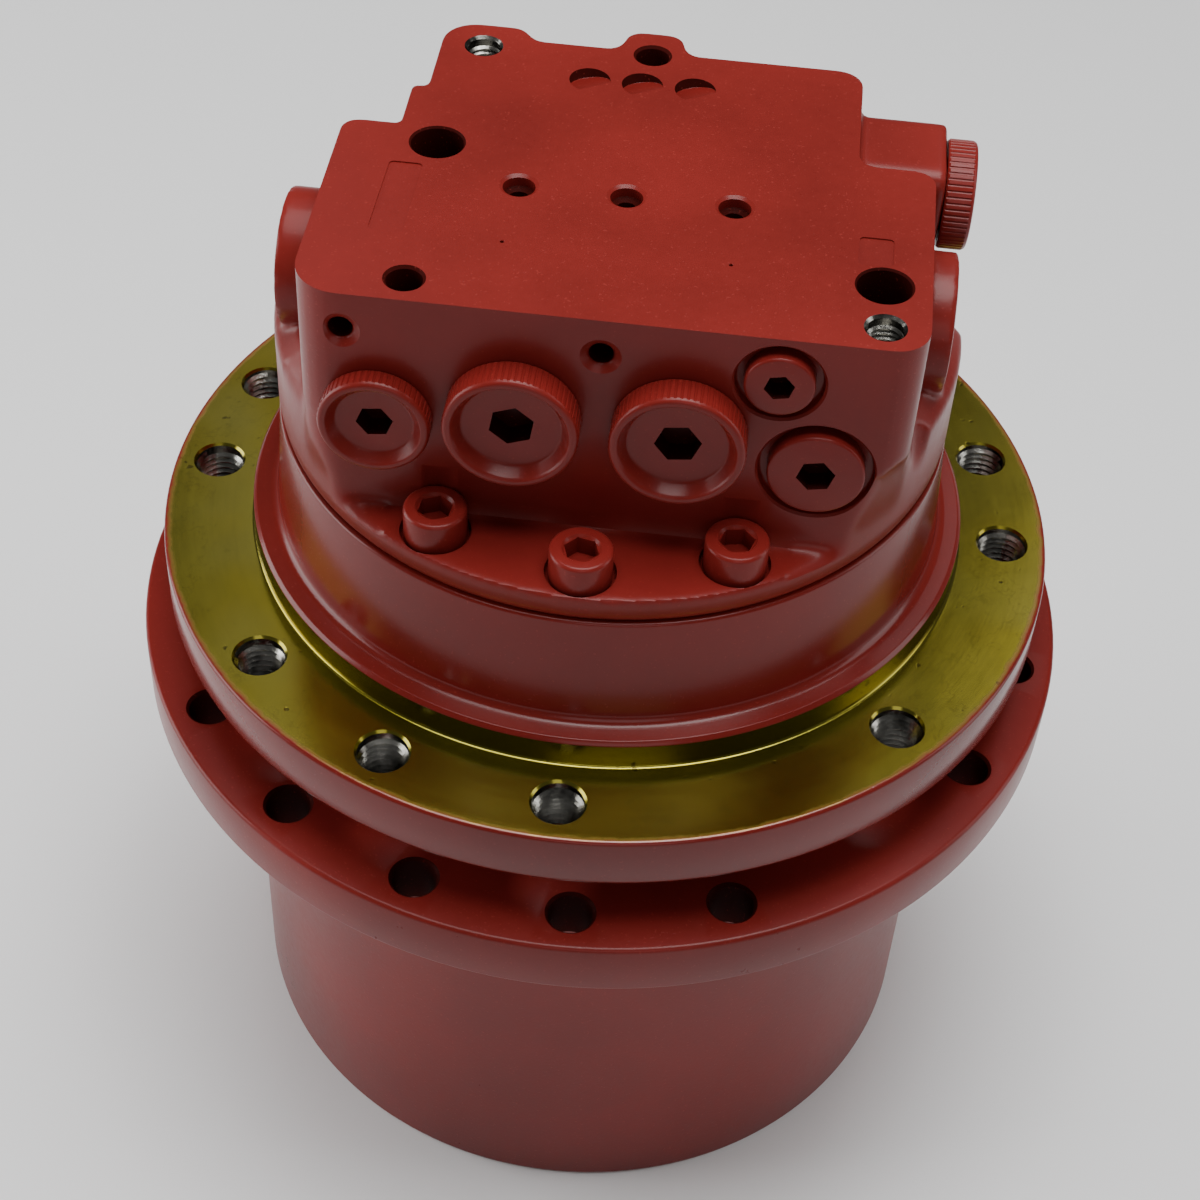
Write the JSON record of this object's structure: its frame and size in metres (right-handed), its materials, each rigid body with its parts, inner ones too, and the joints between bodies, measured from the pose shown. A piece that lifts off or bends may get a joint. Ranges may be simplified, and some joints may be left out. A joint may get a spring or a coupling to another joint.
{
  "type": "excavator final drive",
  "caption": "Excavator travel drive: flanged planetary hub on a hydraulic piston motor, with a painted valve block and closed ports on top.",
  "frame": {"origin": "on the hub's axis, in the plane of the hub's open end, on which the drive stands", "axes": "+Z along the hub's axis from the end cover towards the valve block, -Y out of the block's port face, +X towards the pilot port's side"},
  "size_m": [0.2666, 0.2666, 0.303],
  "materials": {
    "red_paint": "semi-gloss deep red spray paint over cast iron",
    "ground_steel": "ground",
    "gear_steel": "hardened and oiled",
    "bronze": "machined bearing bronze",
    "black_rubber": "matt"
  },
  "bodies": {
    "casing": {"motor_casing": "red_paint", "valve_block": "red_paint", "casing_screw_1": "red_paint", "casing_screw_2": "red_paint", "casing_screw_3": "red_paint", "casing_screw_4": "red_paint", "casing_screw_5": "red_paint", "port_plug_a": "red_paint", "port_plug_b": "red_paint", "drain_port_plug": "red_paint", "pilot_port_plug": "red_paint", "small_hex_plug": "red_paint", "large_hex_plug": "red_paint", "spool_cap_left": "red_paint", "spool_cap_right": "red_paint", "spool_spring_left": "ground_steel", "spool_spring_right": "ground_steel", "valve_plate": "bronze", "swash_plate": "ground_steel", "lower_shaft_bearing": "ground_steel", "upper_shaft_bearing": "ground_steel", "shaft_seal": "black_rubber", "upper_bearing_inner_race": "ground_steel", "lower_bearing_inner_race": "ground_steel", "spindle_ring_nut": "gear_steel", "casing_seal_ring": "ground_steel", "casing_seal_rubber": "black_rubber"},
    "hub": {"hub": "red_paint", "end_cover": "red_paint", "cover_retaining_ring": "ground_steel", "fill_plug": "ground_steel", "level_plug": "ground_steel", "upper_bearing_outer_race": "ground_steel", "lower_bearing_outer_race": "ground_steel", "hub_seal_ring": "ground_steel", "hub_seal_rubber": "black_rubber"},
    "rotor": {"drive_shaft": "gear_steel", "cylinder_block": "bronze", "piston_1": "ground_steel", "piston_2": "ground_steel", "piston_3": "ground_steel", "piston_4": "ground_steel", "piston_5": "ground_steel", "piston_6": "ground_steel", "piston_7": "ground_steel", "shoe_retainer_plate": "bronze", "brake_disc": "bronze"},
    "first_stage_carrier": {"first_stage_carrier": "gear_steel"},
    "upper_roller_cage": {"upper_bearing_roller_cage": "bronze"},
    "lower_roller_cage": {"lower_bearing_roller_cage": "bronze"},
    "brake_piston": {"brake_piston": "gear_steel"},
    "counterbalance_spool": {"counterbalance_spool": "ground_steel"},
    "stage_1_planet_1": {"stage_1_planet_1": "gear_steel"},
    "stage_2_planet_1": {"stage_2_planet_1": "gear_steel"},
    "stage_1_planet_2": {"stage_1_planet_2": "gear_steel"},
    "stage_2_planet_2": {"stage_2_planet_2": "gear_steel"},
    "stage_1_planet_3": {"stage_1_planet_3": "gear_steel"},
    "stage_2_planet_3": {"stage_2_planet_3": "gear_steel"}
  },
  "joints": [
    {"name": "hub_spin", "type": "hinge", "parent": "casing", "child": "hub", "pos_m": [0, 0, 0.138], "axis": [0, 0, 1], "continuous": true},
    {"name": "rotor_spin", "type": "hinge", "parent": "casing", "child": "rotor", "pos_m": [0, 0, 0.19], "axis": [0, 0, 1], "continuous": true},
    {"name": "first_carrier_spin", "type": "hinge", "parent": "casing", "child": "first_stage_carrier", "pos_m": [0, 0, 0.05], "axis": [0, 0, 1], "continuous": true},
    {"name": "upper_cage_spin", "type": "hinge", "parent": "casing", "child": "upper_roller_cage", "pos_m": [0, 0, 0.138], "axis": [0, 0, 1], "continuous": true},
    {"name": "lower_cage_spin", "type": "hinge", "parent": "casing", "child": "lower_roller_cage", "pos_m": [0, 0, 0.112], "axis": [0, 0, 1], "continuous": true},
    {"name": "stage_1_planet_1_spin", "type": "hinge", "parent": "first_stage_carrier", "child": "stage_1_planet_1", "pos_m": [0.0495, 0, 0.034], "axis": [0, 0, 1], "continuous": true},
    {"name": "stage_2_planet_1_spin", "type": "hinge", "parent": "casing", "child": "stage_2_planet_1", "pos_m": [0.05362, 0, 0.0745], "axis": [0, 0, 1], "continuous": true},
    {"name": "stage_1_planet_2_spin", "type": "hinge", "parent": "first_stage_carrier", "child": "stage_1_planet_2", "pos_m": [-0.02475, 0.04287, 0.034], "axis": [0, 0, 1], "continuous": true},
    {"name": "stage_2_planet_2_spin", "type": "hinge", "parent": "casing", "child": "stage_2_planet_2", "pos_m": [-0.02681, 0.04644, 0.0745], "axis": [0, 0, 1], "continuous": true},
    {"name": "stage_1_planet_3_spin", "type": "hinge", "parent": "first_stage_carrier", "child": "stage_1_planet_3", "pos_m": [-0.02475, -0.04287, 0.034], "axis": [0, 0, 1], "continuous": true},
    {"name": "stage_2_planet_3_spin", "type": "hinge", "parent": "casing", "child": "stage_2_planet_3", "pos_m": [-0.02681, -0.04644, 0.0745], "axis": [0, 0, 1], "continuous": true},
    {"name": "brake_release", "type": "slide", "parent": "casing", "child": "brake_piston", "axis": [0, 0, 1], "range_m": [0, 0.0015], "stiffness_N_per_m": 5000, "springref_m": -0.002},
    {"name": "spool_shift", "type": "slide", "parent": "casing", "child": "counterbalance_spool", "axis": [1, 0, 0], "range_m": [-0.004, 0.004], "stiffness_N_per_m": 4000}
  ],
  "couplings": [
    {"joint": "rotor_spin", "follows": "hub_spin", "ratio": -25},
    {"joint": "first_carrier_spin", "follows": "hub_spin", "ratio": -3.3333},
    {"joint": "upper_cage_spin", "follows": "hub_spin", "ratio": 0.5237},
    {"joint": "lower_cage_spin", "follows": "hub_spin", "ratio": 0.5237},
    {"joint": "stage_1_planet_1_spin", "follows": "hub_spin", "ratio": 10.833},
    {"joint": "stage_2_planet_1_spin", "follows": "hub_spin", "ratio": 2.8571},
    {"joint": "stage_1_planet_2_spin", "follows": "hub_spin", "ratio": 10.833},
    {"joint": "stage_2_planet_2_spin", "follows": "hub_spin", "ratio": 2.8571},
    {"joint": "stage_1_planet_3_spin", "follows": "hub_spin", "ratio": 10.833},
    {"joint": "stage_2_planet_3_spin", "follows": "hub_spin", "ratio": 2.8571}
  ]
}
